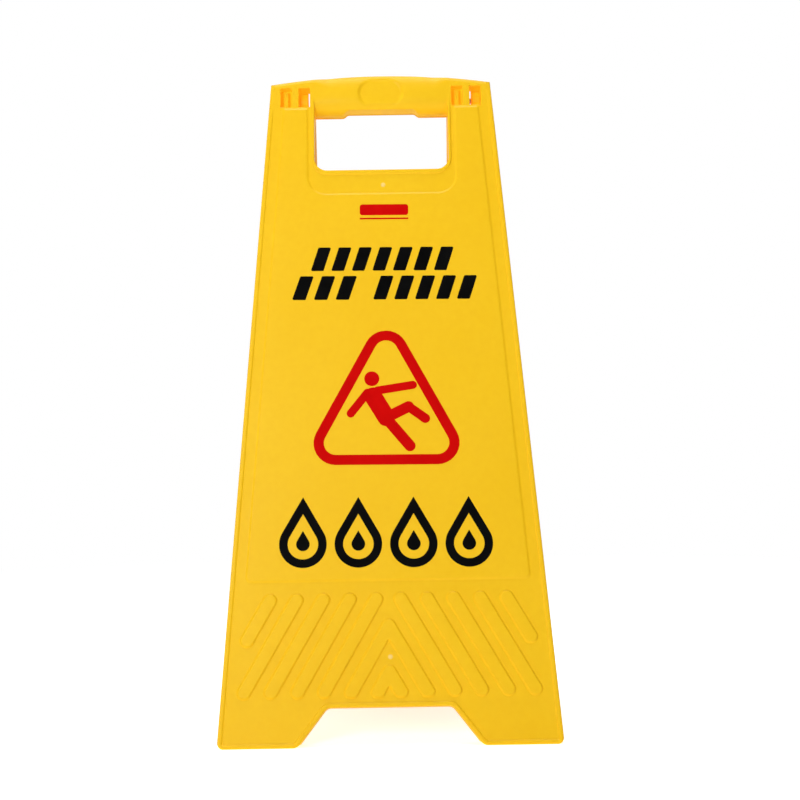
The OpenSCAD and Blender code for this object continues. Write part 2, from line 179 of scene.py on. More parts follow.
ARC_STEPS = 10           # straight pieces in one rounded corner
LEAST_BEND = 0.25        # radius that a rounded corner keeps where its outline moves in
EDGE_ROUND_STEPS = 4     # straight pieces in an edge's rounding, and in its fall to the face
EDGE_FALL_STEPS = 5
SHARP = math.radians(34)          # edges that turn more than this stay sharp

WORLD_FRONT = 0.05       # light from the studio in front of the sign, and from behind it
WORLD_BACK = 1.0
WORLD_BLEND = 0.6        # how far towards the back a direction points where the light is full
FLOOR_HALF = 15.0        # metres
FLOOR_GLOW = 0.30        # light that the floor gives off near the sign
FLOOR_WHITE = 0.65       # the same as the camera sees it, which keeps the shadows faint
FLOOR_FADE = (0.45, 1.6)          # where the floor starts and ends its fade to white, in metres
PAINTED_RECESS_GLOW = 0.36       # painted glow, given off as emission, in the plastic's deepest recesses
RECESS_REACH = 12.0
BOUNCES = 16

CAMERA_PLACE = (0.0066, -1.6, 0.3)    # metres
CAMERA_LENS = 75.8
CAMERA_TURN = math.radians(-0.25)
CAMERA_TILT = math.radians(89.94)
CAMERA_ROLL = math.radians(-0.94)

# Colours: two close shades of each material, which mix unevenly, the yellow's own extras, and the colour of
# its painted recess glow
YELLOWS = ((0.93, 0.555, 0.011), (0.955, 0.585, 0.014))
YELLOW_GRAIN = (0.90, 0.51, 0.008)
YELLOW_BLUSH = (0.96, 0.68, 0.20)
# colour of the painted glow in the recesses
PAINTED_GLOW_COLOUR = (1.0, 0.40, 0.01)
REDS = ((0.58, 0.0012, 0.0012), (0.66, 0.003, 0.002))
BLACKS = ((0.0015, 0.0015, 0.0015), (0.004, 0.004, 0.004))
STEELS = ((0.42, 0.43, 0.44), (0.62, 0.63, 0.64))
FLOOR_GREYS = ((0.90, 0.90, 0.90), (0.93, 0.93, 0.93))
WHITE = (1, 1, 1)
BLACK = (0, 0, 0)


# Outlines ---------------------------------------------------------------

def half_width(y):
    """Half the panel's width at a height above the feet."""
    return FOOT_WIDTH / 2 - y * (FOOT_WIDTH - TOP_WIDTH) / 2 / CORNER_Y


def top_y(x):
    """Height of the curved top edge."""
    return PANEL_LENGTH - TOP_RADIUS + math.sqrt(TOP_RADIUS ** 2 - x * x)


def smooth(t):
    """A step from 0 to 1 with level ends, as t goes from 0 to 1."""
    t = min(1.0, max(0.0, t))
    return t * t * (3 - 2 * t)


def mitre(here, before, after, gap_a, gap_b):
    """A corner's place once the side before it moves in by gap_a and the side after it by gap_b."""
    inward_a = Vector((-before.y, before.x))
    inward_b = Vector((-after.y, after.x))
    same = inward_a.dot(inward_b)
    if same > 0.9999:
        return here + (inward_a + inward_b) * (gap_a + gap_b) / 4
    share = 1 - same * same
    moved = here + inward_a * ((gap_a - same * gap_b) / share)
    return moved + inward_b * ((gap_b - same * gap_a) / share)


def corner_arc(corner, before, after, bend, z_a, z_b):
    """Points of the arc with radius bend that rounds a corner, with z turning smoothly from z_a to z_b."""
    half = math.acos(max(-1.0, min(1.0, -before.dot(after)))) / 2
    middle = corner + (after - before).normalized() * bend / math.sin(half)
    start = corner - before * bend / math.tan(half) - middle
    finish = corner + after * bend / math.tan(half) - middle
    angle = math.atan2(start.y, start.x)
    sweep = math.atan2(finish.y, finish.x) - angle
    sweep = (sweep + math.pi) % (2 * math.pi) - math.pi
    points = []
    for k in range(ARC_STEPS + 1):
        part = k / ARC_STEPS
        at = angle + sweep * part
        z = z_a + (z_b - z_a) * smooth(part)
        points.append((middle.x + bend * math.cos(at), middle.y + bend * math.sin(at), z))
    return points


def quarter(steps):
    """Angles from 0 to a quarter turn."""
    return [math.pi / 2 * k / steps for k in range(steps + 1)]


def ring(corners, gaps, heights):
    """A counter-clockwise outline of (x, y, radius) corners, its sides moved inwards, as (x, y, z) points.

    gaps and heights hold one number per side, or one for all; a side runs from its corner to the next.
    Round corners keep the same number of points at every gap.
    """
    count = len(corners)
    gaps = gaps if isinstance(gaps, (list, tuple)) else [gaps] * count
    heights = heights if isinstance(heights, (list, tuple)) else [heights] * count
    points = []
    for i, (x, y, radius) in enumerate(corners):
        here = Vector((x, y))
        before = (here - Vector(corners[i - 1][:2])).normalized()
        after = (Vector(corners[(i + 1) % count][:2]) - here).normalized()
        corner = mitre(here, before, after, gaps[i - 1], gaps[i])
        z_a, z_b = heights[i - 1], heights[i]
        if radius <= 0:
            points.append((corner.x, corner.y, (z_a + z_b) / 2))
            continue
        gap = (gaps[i - 1] + gaps[i]) / 2
        turns_left = before.x * after.y - before.y * after.x > 0
        bend = max(LEAST_BEND, radius - gap if turns_left else radius + gap)
        points += corner_arc(corner, before, after, bend, z_a, z_b)
    return points


def rectangle(x0, x1, y0, y1, radius):
    return [(x0, y0, radius), (x1, y0, radius), (x1, y1, radius), (x0, y1, radius)]


def circle(x, y, radius, count):
    return [
        (x + radius * math.cos(2 * math.pi * k / count), y + radius * math.sin(2 * math.pi * k / count))
        for k in range(count)
    ]


def top_points(x_from, x_to, count):
    """Corners along the curved top between two x values, without its ends."""
    step = (x_to - x_from) / count
    return [(x_from + step * k, top_y(x_from + step * k), 0) for k in range(1, count)]


def cut_columns():
    """Corners of the two columns beside the opening, cut off below the hinge windows."""
    wide = half_width(HINGE_ZONE)
    right = [
        (wide, HINGE_ZONE, CORNER_RADIUS, "cut"), (OPENING_HALF, HINGE_ZONE, CORNER_RADIUS, "opening"),
    ]
    left = [
        (-OPENING_HALF, HINGE_ZONE, CORNER_RADIUS, "cut"), (-wide, HINGE_ZONE, CORNER_RADIUS, "side"),
    ]
    return right, left


def whole_columns():
    """Corners of the two columns up to the curved top, with the places where the rim and the lip fade."""
    below_round = COLUMN_TOP_Y + 2.0
    end_y, ear_y = top_y(OPENING_HALF), CORNER_Y - below_round
    rim_end, rim_gone = HINGE_Y - 26, HINGE_Y - 12
    lip_full, lip_end, lip_gone = HINGE_Y - 16, HINGE_Y - 10, HINGE_Y - 4
    right = [
        (half_width(rim_end), rim_end, 0, "side"), (half_width(rim_gone), rim_gone, 0, "ear"),
        (half_width(ear_y), ear_y, 0, "ear"), (TOP_WIDTH / 2, CORNER_Y, CORNER_RADIUS, "top"),
    ]
    right += [(*p, "top") for p in top_points(TOP_WIDTH / 2, OPENING_HALF, 6)]
    right += [
        (OPENING_HALF, end_y, JOINT_RADIUS, "joint"), (OPENING_HALF, end_y - below_round, 0, "joint"),
        (OPENING_HALF, lip_gone, 0, "joint"), (OPENING_HALF, lip_end, 0, "opening"),
        (OPENING_HALF, lip_full, 0, "opening"),
    ]
    left = [
        (-OPENING_HALF, lip_full, 0, "opening"),
        (-OPENING_HALF, lip_end, 0, "joint"), (-OPENING_HALF, lip_gone, 0, "joint"),
        (-OPENING_HALF, end_y - below_round, 0, "joint"), (-OPENING_HALF, end_y, JOINT_RADIUS, "top"),
    ]
    left += [(*p, "top") for p in top_points(-OPENING_HALF, -TOP_WIDTH / 2, 6)]
    left += [
        (-TOP_WIDTH / 2, CORNER_Y, CORNER_RADIUS, "ear"), (-half_width(ear_y), ear_y, 0, "ear"),
        (-half_width(rim_gone), rim_gone, 0, "ear"), (-half_width(rim_end), rim_end, 0, "side"),
    ]
    return right, left


def panel_corners(columns):
    """Outline of the moulded sheet, down into the hand opening between its columns.

    Each corner is (x, y, radius, kind of the side that starts there).
    """
    right, left = columns
    return [
        (FOOT_WIDTH / 2, 0, FOOT_RADIUS, "side"),
        *right,
        (OPENING_HALF, OPENING_BOTTOM, OPENING_RADIUS, "bottom"),
        (-OPENING_HALF, OPENING_BOTTOM, OPENING_RADIUS, "opening"),
        *left,
        (-FOOT_WIDTH / 2, 0, FOOT_RADIUS, "side"),
        (-ARCH_FLOOR / 2, 0, ARCH_FLOOR_RADIUS, "side"),
        (-ARCH_TOP / 2, ARCH_HEIGHT, ARCH_TOP_RADIUS, "side"),
        (ARCH_TOP / 2, ARCH_HEIGHT, ARCH_TOP_RADIUS, "side"),
        (ARCH_FLOOR / 2, 0, ARCH_FLOOR_RADIUS, "side"),
    ]


def edge_profile(radius, flat, fall, height):
    """(gap, z) pairs in from an edge: a rounding, a level part up to the gap flat, and a soft fall."""
    pairs = []
    for angle in quarter(EDGE_ROUND_STEPS):
        pairs.append((radius * (1 - math.cos(angle)), height - radius * (1 - math.sin(angle))))
    for k in range(EDGE_FALL_STEPS + 1):
        part = k / EDGE_FALL_STEPS
        pairs.append((flat + fall * part, height * (1 - smooth(part))))
    return pairs


def top_profile():
    """(gap, z) pairs for the top edge of the columns, which is one large rounding."""
    angles = quarter(EDGE_ROUND_STEPS + EDGE_FALL_STEPS + 1)
    return [(COLUMN_TOP_Y * (1 - math.cos(a)), -COLUMN_TOP_Z * (1 - math.sin(a))) for a in angles]


def column_top_z(x, y):
    """Height of the rounding along the top of the columns, at a point on the face."""
    part = min(1.0, max(0.0, (top_y(x) - y) / COLUMN_TOP_Y))
    return -COLUMN_TOP_Z * (1 - math.sqrt(1 - (1 - part) ** 2))


def field_corners(top):
    """Outline of the raised label field, which leaves out the channel round the hand opening."""
    low = half_width(FIELD_BOTTOM) - FIELD_MARGIN
    high = half_width(top) - FIELD_MARGIN
    right = [
        (low, FIELD_BOTTOM, 4), (high, top, 1.5), (CHANNEL_HALF, top, 1.3),
        (CHANNEL_HALF, CHANNEL_BOTTOM, 17),
    ]
    return right + [(-x, y, r) for x, y, r in reversed(right)]


def window_corners(start, side):
    """Outline of a hinge window, counter-clockwise, with corners at the hinge axis and the slot's edge."""
    x0, x1 = sorted((side * start, side * (start + WINDOW_WIDTH)))
    slot_x = side * (start + SLOT_WIDTH)
    low, high, radius = WINDOW_BOTTOM, WINDOW_TOP, WINDOW_RADIUS
    return [
        (x0, low, radius), (slot_x, low, 0), (x1, low, radius), (x1, HINGE_Y, 0),
        (x1, high, radius), (slot_x, high, 0), (x0, high, radius), (x0, HINGE_Y, 0),
    ]


def rib_corners(index, bottom, side):
    """Outline of a slanted rib. They are counted from the middle outwards."""
    upper = RIB_START + index * RIB_PITCH
    lower = upper + (RIB_TOP - bottom) * RIB_RUN / (RIB_TOP - RIB_BOTTOM)
    half = RIB_WIDTH / 2
    corners = [
        (lower - half, bottom, RIB_CORNER), (lower + half, bottom, RIB_CORNER),
        (upper + half, RIB_TOP, RIB_CORNER), (upper - half, RIB_TOP, RIB_CORNER),
    ]
    return corners if side > 0 else [(-x, y, r) for x, y, r in reversed(corners)]


def chevron_corners(apex, leg):
    """Outline of a chevron in the middle, as wide as a rib."""
    half = RIB_WIDTH / 2
    rise = half * (apex - RIB_BOTTOM) / leg
    return [
        (leg - half, RIB_BOTTOM, 4.2), (leg + half, RIB_BOTTOM, 4.6), (0, apex + rise, 6),
        (-leg - half, RIB_BOTTOM, 4.6), (-leg + half, RIB_BOTTOM, 4.2), (0, apex - rise, 0.9),
    ]


# Mesh building ----------------------------------------------------------

def inside(x, y, outline):
    """Whether a point is inside a closed outline."""
    found = False
    for (ax, ay, *_), (bx, by, *_) in zip(outline, outline[1:] + outline[:1]):
        if (ay > y) != (by > y) and x < ax + (y - ay) * (bx - ax) / (by - ay):
            found = not found
    return found


def triangulate(loops):
    """Triangles whose edges run along every closed loop.

    Returns the loops' points, the flat points made, the faces between those, and which loop points
    each of them came from.
    """
    points, edges = [], []
    for loop in loops:
        first, count = len(points), len(loop)
        points += loop
        edges += [(first + k, first + (k + 1) % count) for k in range(count)]
    flat = [Vector(p[:2]) for p in points]
    made, _, faces, origins, _, _ = delaunay_2d_cdt(flat, edges, [], 0, 1e-5)
    return points, made, faces, origins


def middle_of(face, points):
    """The middle of a face, as x and y."""
    return [sum(points[i][axis] for i in face) / len(face) for axis in (0, 1)]


class Shell:
    """Vertices on the panel and the faces between them. Equal points become one vertex."""

    def __init__(self):
        self.points = []
        self.faces = []
        self.known = {}

    def vertex(self, point):
        key = tuple(round(c, 3) for c in point)
        if key not in self.known:
            self.known[key] = len(self.points)
            self.points.append(tuple(point))
        return self.known[key]

    def face(self, points):
        indices = []
        for point in points:
            index = self.vertex(point)
            if index not in indices:
                indices.append(index)
        if len(indices) > 2:
            self.faces.append(indices)

    def band(self, first, second):
        """Quads between two closed rings with the same number of points."""
        count = len(first)
        for k in range(count):
            n = (k + 1) % count
            self.face([first[k], first[n], second[n], second[k]])

    def sheet(self, outer, holes, features, height=None):
        """Triangles that fill outer less its holes and run along every ring of the features.

        height gives z for a point that no ring holds; without it z comes from the rings.
        """
        points, made, faces, origins = triangulate([outer, *holes, *features])
        placed = []
        for position, origin in zip(made, origins):
            if origin:
                placed.append(points[origin[0]])
            elif height:
                placed.append((position.x, position.y, height(position.x, position.y)))
            else:
                raise ValueError(f"two outlines cross at {tuple(position)}")
        for face in faces:
            x, y = middle_of(face, placed)
            if inside(x, y, outer) and not any(inside(x, y, hole) for hole in holes):
                self.face([placed[i] for i in face])

    def add(self, other):
        """Takes in another closed shell without merging it with this one."""
        first = len(self.points)
        self.points += other.points
        self.faces += [[first + i for i in face] for face in other.faces]


def floor_y(z):
    """Height up the panel of the floor under a foot, at a depth behind the face."""
    return max(0.0, -z * math.tan(LEAN))


def back_limit(y):
    """Depth of the panel's back edge: bevelled above the hinge axis, where the open panels meet."""
    if y <= HINGE_Y:
        return BACK_Z
    return BACK_Z + (y - HINGE_Y) * math.tan(LEAN)


def panel_point(point, turned):
    """A point on the flat panel, stood up in the frame as the front panel or turned as the rear one."""
    x, y, z = point
    y = max(y, floor_y(z))
    up = y - HINGE_Y
    out = z + PANEL_DEPTH
    place = Vector((
        x,
        up * math.sin(LEAN) - out * math.cos(LEAN),
        up * math.cos(LEAN) + out * math.sin(LEAN),
    )) / 1000
    if turned:
        place = Vector((-place.x, -place.y, place.z))
    return place + HINGE


def make_object(name, shell, material, turned):
    """A mesh object from a shell, smooth except along its sharp edges."""
    built = bmesh.new()
    vertices = [built.verts.new(panel_point(p, turned)) for p in shell.points]
    for face in shell.faces:
        built.faces.new([vertices[i] for i in face])
    bmesh.ops.recalc_face_normals(built, faces=built.faces)
    for face in built.faces:
        face.smooth = True
    for edge in built.edges:
        edge.smooth = edge.calc_face_angle(0) < SHARP
    mesh = bpy.data.meshes.new(name)
    built.to_mesh(mesh)
    built.free()
    mesh.materials.append(material)
    made = bpy.data.objects.new(name, mesh)
    bpy.context.scene.collection.objects.link(made)
    weighted = made.modifiers.new("weighted_normals", "WEIGHTED_NORMAL")
    weighted.keep_sharp = True
    weighted.weight = 100
    return made


# The panel --------------------------------------------------------------

def face_features(field_top):
    """Every raised or sunk outline on the sheet, as lists of rings from the lower level to the upper."""
    steps = [-1, -0.5, 0, 0.5, 1]
    features = [[
        ring(field_corners(field_top), FIELD_SOFTNESS * s, RIM_HEIGHT * smooth((s + 1) / 2)) for s in steps
    ]]
    ribs = [rib_corners(k, RIB_BOTTOM, side) for k in range(4) for side in (-1, 1)]
    ribs += [rib_corners(4, SHORT_RIB_BOTTOM, side) for side in (-1, 1)]
    ribs += [chevron_corners(apex, leg) for apex, leg in CHEVRONS]
    for corners in ribs:
        rings = []
        for k in range(8):
            part = k / 7
            rings.append(ring(corners, RIB_SOFTNESS * part - RIB_OUTSET, RIB_HEIGHT * smooth(part ** 0.8)))
        features.append(rings)
    return features


def gate_rings():
    """Two small round moulding marks."""
    rings = []
    for y in GATE_Y:
        for radius, z in ((2.4, 0), (2.0, 0.15), (1.5, 0.4), (0.8, 0.5)):
            rings.append([(px, py, z) for px, py in circle(GATE_X, y, radius, 20)])
    return rings


def open_slot(shell, upper, lower, slot_x):
    """Cuts a plate away inside |x| = slot_x, and returns what is left of its upper and lower faces."""
    count = len(upper)
    edge = slot_x - 0.001
    for k in range(count):
        n = (k + 1) % count
        if min(abs(upper[k][0]), abs(upper[n][0])) < edge:
            shell.face([upper[k], upper[n], lower[n], lower[k]])
    kept = [k for k in range(count) if abs(upper[k][0]) > edge]
    a, b = (k for k in kept if abs(upper[k][0]) < slot_x + 0.001)
    shell.face([upper[a], upper[b], lower[b], lower[a]])
    return [upper[k] for k in kept], [lower[k] for k in kept]


def edge_rings():
    """Rings from the sheet's outer edge in to its face, over the rim, the lip and the rounded top."""
    marked = panel_corners(whole_columns())
    corners = [corner[:3] for corner in marked]
    profiles = {
        "side": edge_profile(radius=1.6, flat=3.2, fall=1.5, height=RIM_HEIGHT),
        "opening": edge_profile(radius=0.9, flat=1.9, fall=1.0, height=RIM_HEIGHT),
        "bottom": edge_profile(radius=1.2, flat=3.4, fall=1.6, height=RIM_HEIGHT),
        "ear": edge_profile(radius=1.6, flat=3.2, fall=1.5, height=0.0),
        "joint": edge_profile(radius=0.9, flat=1.9, fall=1.0, height=0.0),
        "top": top_profile(),
    }
    rings = []
    for pairs in zip(*(profiles[corner[3]] for corner in marked)):
        points = ring(corners, [gap for gap, _ in pairs], [z for _, z in pairs])
        rings.append([(x, y, min(z, column_top_z(x, y)) if y > HINGE_Y else z) for x, y, z in points])
    return rings


def window_rings(corners):
    """Rings that round the rim of a hinge window, from the face in to its walls."""
    rings = []
    for angle in quarter(3):
        out, down = WINDOW_SOFTNESS * (1 - math.sin(angle)), WINDOW_SOFTNESS * (1 - math.cos(angle))
        rings.append(ring(corners, -out, -down))
    return rings


def add_hollow(shell):
    """The hollow behind the sheet, with a ceiling that follows the face.

    Returns its edge on the back plane.
    """
    marked = panel_corners(cut_columns())
    corners = [corner[:3] for corner in marked]
    gaps = [0.0 if corner[3] == "cut" else WALL for corner in marked]
    lowest = floor_y(BACK_Z) + WALL + HOLLOW_MARGIN
    walls = ring(corners, gaps, 0)
    back = [(x, max(y, lowest), BACK_Z) for x, y, _ in walls]
    wall_top = [(x, y, -WALL - WALL_FILLET) for x, y, _ in walls]
    ceiling = ring(corners, [gap + WALL_FILLET for gap in gaps], -WALL)
    shell.band(back, wall_top)
    shell.band(wall_top, ceiling)
    behind = [r for feature in face_features(HINGE_ZONE - FIELD_SHORT) for r in feature]
    shell.sheet(ceiling, [], [[(x, y, z - WALL) for x, y, z in r] for r in behind])
    return back


def add_plate(shell, rim, back, slot_x):
    """Closes a window in front of the panel's own knuckle.

    A slot stays open inside |x| = slot_x, unless slot_x is None.
    """
    upper = [(x, y, PLATE_Z) for x, y, _ in rim]
    lower = [(x, y, PLATE_Z - WALL) for x, y, _ in rim]
    shell.band(rim, upper)
    shell.band(back, lower)
    if slot_x:
        upper, lower = open_slot(shell, upper, lower, slot_x)
    shell.face(upper)
    shell.face(lower)


def panel_shell(slots):
    """The moulded sheet with its skirts and hollow back, solid round the hinge windows."""
    shell = Shell()
    edges = edge_rings()
    for outer, inner in zip(edges, edges[1:]):
        shell.band(outer, inner)

    windows = [
        window_corners(WINDOW_START + place * WINDOW_STEP, side)
        for side in (-1, 1) for place in (0, 1)
    ]
    rims = [window_rings(corners) for corners in windows]
    for rings in rims:
        for outer, inner in zip(rings, rings[1:]):
            shell.band(outer, inner)
    features = [r for feature in face_features(FIELD_TOP) for r in feature]
    shell.sheet(edges[-1], [rings[0] for rings in rims], features + gate_rings())

    back = [(x, y, back_limit(y)) for x, y, _ in edges[0]]
    shell.band(edges[0], back)
    hollow_back = add_hollow(shell)
    back_windows = [[(x, y, back_limit(y)) for x, y, _ in ring(w, 0, 0)] for w in windows]
    shell.sheet(back, [hollow_back, *back_windows], [], height=lambda x, y: back_limit(y))

    own = (1, 2)      # the windows that hold this panel's own knuckles
    for place, (corners, rings, back_ring) in enumerate(zip(windows, rims, back_windows)):
        if place in own:
            slot_x = min(abs(x) for x, _, _ in corners) + SLOT_WIDTH if slots else None
            add_plate(shell, rings[-1], back_ring, slot_x)
        else:
            shell.band(rings[-1], back_ring)
    return shell


def grip_relief(x):
    """Height of the flat under the middle of the grip, or the grip's own underside beside it."""
    return GRIP_BOTTOM + RELIEF_DEPTH * min(1.0, max(0.0, (RELIEF_HALF - abs(x)) / RELIEF_RAMP))


def pad_height(x, y, z):
    """z on the grip at (x, y), lowered to the thumb pad's flat inside its oval."""
    reach = math.hypot(x / PAD_X, (y - PAD_CENTER_Y) / PAD_Y)
    flat = min(PAD_Z, z - PAD_LOWER_DEPTH)
    above = y > PAD_CENTER_Y and z < PAD_Z
    return z if above else z + (flat - z) * smooth((PAD_EDGE - reach) / PAD_SOFTNESS)


def grip_section(x, wall):
    """The grip's outline at x, from its lower back edge over the front to its upper back edge.

    wall is 0 for the outer surface and the wall's thickness for the hollow inside it.
    """
    grown = smooth((OPENING_HALF - abs(x)) / GRIP_MERGE)
    lift = SKIN_GAP * (1 - grown)
    front = RIM_HEIGHT * smooth((OPENING_HALF - abs(x)) / GRIP_RAMP) + lift
    back = BACK_Z + lift
    if wall:
        front = PAD_Z - wall
    low, low_end = GRIP_BOTTOM + wall, GRIP_BOTTOM + GRIP_LOW_CURVE
    round_y = COLUMN_TOP_Y + (GRIP_TOP_Y - COLUMN_TOP_Y) * grown
    round_z = COLUMN_TOP_Z + (GRIP_TOP_Z - COLUMN_TOP_Z) * grown
    high = top_y(x) + lift - wall
    high_start = top_y(x) - round_y
    low_steps, front_steps, high_steps = 24, 10, 18
    points = []
    for angle in quarter(low_steps):
        y = low_end - (low_end - low) * max(0.0, math.cos(angle)) ** GRIP_FULLNESS
        points.append((y, back + (front - back) * math.sin(angle) ** GRIP_FULLNESS))
    for k in range(1, front_steps + 1):
        points.append((low_end + (high_start - low_end) * k / front_steps, front))
    for angle in quarter(high_steps)[1:]:
        y = high_start + (high - high_start) * math.sin(angle)
        points.append((y, front - round_z * (1 - math.cos(angle))))
    points.append((high, back_limit(high) + lift))
    floor = grip_relief(x) if wall == 0 else GRIP_BOTTOM + RELIEF_DEPTH + wall
    if wall == 0:
        points = [(y, pad_height(x, y, z)) for y, z in points]
    return [(x, max(y, floor), z) for y, z in points]


def grip_shell():
    """The half-round grip over the hand opening, hollow at the back."""
    reach = OPENING_HALF + GRIP_OVERLAP
    fine = [PAD_REACH * k / 32 for k in range(-32, 33)]
    twelfths = [k / 12 for k in range(1, 13)]
    coarse = [PAD_REACH + (OPENING_HALF - GRIP_MERGE - PAD_REACH) * part for part in twelfths]
    coarse += [OPENING_HALF - GRIP_MERGE * (1 - part) for part in twelfths]
    coarse += [reach]
    outer_x = [-x for x in reversed(coarse)] + fine + coarse
    inner_x = [x * (OPENING_HALF - WALL) / reach for x in outer_x]
    shell = Shell()
    backs = []
    for xs, wall in ((outer_x, 0), (inner_x, WALL)):
        sections = [grip_section(x, wall) for x in xs]
        for left, right in zip(sections, sections[1:]):
            for k in range(len(left) - 1):
                shell.face([left[k], right[k], right[k + 1], left[k + 1]])
        right_hinge = (xs[-1], HINGE_Y, BACK_Z)
        left_hinge = (xs[0], HINGE_Y, BACK_Z)
        shell.face([*sections[-1], right_hinge])
        shell.face([*sections[0], left_hinge])
        bottom = [section[0] for section in sections]
        top = [section[-1] for section in reversed(sections)]
        backs.append([*bottom, right_hinge, *top, left_hinge])
    shell.sheet(backs[0], [backs[1]], [], height=lambda x, y: back_limit(y))
    return shell


def block_shell(x0, x1, y0, y1, z0, z1, radius):
    """A block with rounded upright corners and a rounded front edge."""
    shell = Shell()
    corners = rectangle(x0, x1, y0, y1, radius)
    rings = [ring(corners, 0, z0)]
    for angle in quarter(3):
        gap = radius * 0.9 * (1 - math.cos(angle))
        rings.append(ring(corners, gap, z1 - radius * (1 - math.sin(angle))))
    for lower, upper in zip(rings, rings[1:]):
        shell.band(lower, upper)
    shell.face(rings[0])
    shell.face(rings[-1])
    return shell


def turned_shell(section, segments):
    """A closed ring around the hinge axis, turned from a section of (x, radius) points."""
    shell = Shell()
    loops = []
    for k in range(segments):
        angle = 2 * math.pi * k / segments
        loops.append([
            (x, HINGE_Y + r * math.cos(angle), -PANEL_DEPTH + r * math.sin(angle)) for x, r in section
        ])
    for k in range(segments):
        shell.band(loops[k], loops[(k + 1) % segments])
    return shell


def knuckle_shells(start, side):
    """A knuckle of the hinge in its window: the eye round the pin, and the bar in front."""
    a, b = start + KNUCKLE_GAP, start + WINDOW_WIDTH - SIDE_CLEARANCE
    soft = KNUCKLE_SOFTNESS
    section = [
        (a + soft, KNUCKLE_RADIUS), (b - soft, KNUCKLE_RADIUS), (b, KNUCKLE_RADIUS - soft),
        (b, BORE_RADIUS), (a, BORE_RADIUS), (a, KNUCKLE_RADIUS - soft),
    ]
    middle = side * (start + WINDOW_WIDTH / 2)
    eye = turned_shell([(side * x, r) for x, r in section], KNUCKLE_SEGMENTS)
    bar = block_shell(
        middle - BAR_HALF, middle + BAR_HALF, WINDOW_BOTTOM - BAR_OVERLAP, WINDOW_TOP - BAR_SHORT,
        PLATE_Z - BAR_OVERLAP, BAR_Z, BAR_RADIUS,
    )
    return [eye, bar]


def moulding_shell(slots):
    """All of a panel that is one moulding: the sheet, the grip and the knuckles."""
    shell = panel_shell(slots)
    shell.add(grip_shell())
    for start, side in ((WINDOW_START + WINDOW_STEP, -1), (WINDOW_START, 1)):
        for part in knuckle_shells(start, side):
            shell.add(part)
    return shell


# Printed marks ----------------------------------------------------------

def turned_print(points):
    """Points of the print, a little turned on the label field."""
    cos, sin = math.cos(PRINT_TURN), math.sin(PRINT_TURN)
    up = [(p[0], p[1] - PRINT_CENTER_Y) for p in points]
    return [(x * cos + y * sin, PRINT_CENTER_Y - x * sin + y * cos) for x, y in up]


def film_shell(outlines, printed):
    """A thin film on the label field, over every part of the outlines where printed(x, y) is true."""
    bottom = RIM_HEIGHT + INK_GAP
    top = bottom + INK_THICKNESS
    _, made, faces, _ = triangulate(outlines)
    placed = turned_print(made)
    shell = Shell()
    borders = {}
    for face in faces:
        if not printed(*middle_of(face, made)):
            continue
        shell.face([(*placed[i], top) for i in face])
        shell.face([(*placed[i], bottom) for i in face])
        for a, b in zip(face, face[1:] + face[:1]):
            borders[frozenset((a, b))] = borders.get(frozenset((a, b)), 0) + 1
    for edge, uses in borders.items():
        if uses == 1:
            a, b = (placed[i] for i in edge)
            shell.face([(*a, bottom), (*b, bottom), (*b, top), (*a, top)])
    return shell


def filled(outlines):
    """A film over the union of the outlines."""
    return film_shell(outlines, lambda x, y: any(inside(x, y, loop) for loop in outlines))


def warning_triangle():
    corners = [
        (MARK_X - TRIANGLE_HALF, TRIANGLE_BOTTOM, TRIANGLE_RADIUS),
        (MARK_X + TRIANGLE_HALF, TRIANGLE_BOTTOM, TRIANGLE_RADIUS),
        (MARK_X, TRIANGLE_TOP, TRIANGLE_RADIUS),
    ]
    outer, inner = ring(corners, 0, 0), ring(corners, TRIANGLE_STROKE, 0)
    return film_shell([outer, inner], lambda x, y: inside(x, y, outer) and not inside(x, y, inner))


def stroke(ax, ay, bx, by, width):
    """A straight stroke with round ends."""
    along = math.atan2(by - ay, bx - ax)
    points = []
    for x, y, start in ((ax, ay, along + math.pi / 2), (bx, by, along - math.pi / 2)):
        for k in range(ARC_STEPS + 1):
            angle = start + math.pi * k / ARC_STEPS
            points.append((x + width / 2 * math.cos(angle), y + width / 2 * math.sin(angle)))
    return points


def slip_figure():
    """A plain figure that slips backwards: a head, and round-ended strokes for body and limbs."""
    head, hip, knee = (-13, 326), (0, 290), (20, 300)
    strokes = [      # both ends and the width of the body, the arms, the raised leg and the standing leg
        (-12, 310, *hip, 16), (-17, 313, -32, 294, 7.5), (-8, 315, 24, 320, 7.5),
        (*hip, *knee, 10), (*knee, 35, 289, 8.5), (1, 288, 21, 264, 10),
    ]
    shapes = [stroke(MARK_X + ax, ay, MARK_X + bx, by, width) for ax, ay, bx, by, width in strokes]
    return filled([circle(MARK_X + head[0], head[1], 6.8, 48), *shapes])


def dash_row(x0, x1, bottom, count):
    """A row of slanted dashes between two x values, as wide and as high as a word."""
    pitch = (x1 - x0) / count
    width, slant = pitch * DASH_SHARE, pitch * (1 - DASH_SHARE)
    top = bottom + DASH_HEIGHT
    row = []
    for k in range(count):
        x = x0 + k * pitch
        places = [(x, bottom), (x + width, bottom), (x + width + slant, top), (x + slant, top)]
        row.append(ring([(*place, DASH_RADIUS) for place in places], 0, 0))
    return row


def hazard_dashes():
    return filled([dash for word in DASH_WORDS for dash in dash_row(*word)])


def drop_outline(x, y, radius):
    """A water drop: a circle and its two tangents, which meet above it."""
    points = []
    for k in range(49):
        angle = math.radians(150 + 240 * k / 48)
        points.append((x + radius * math.cos(angle), y + radius * math.sin(angle)))
    return points + [(x, y + 2 * radius)]


def water_drops():
    outlines = []
    for k in (-1.5, -0.5, 0.5, 1.5):
        outlines += [drop_outline(k * DROP_STEP, DROP_Y, radius) for radius in DROP_RADII]
    return film_shell(
        outlines, lambda x, y: sum(inside(x, y, loop) for loop in outlines) % 2 == 1,
    )


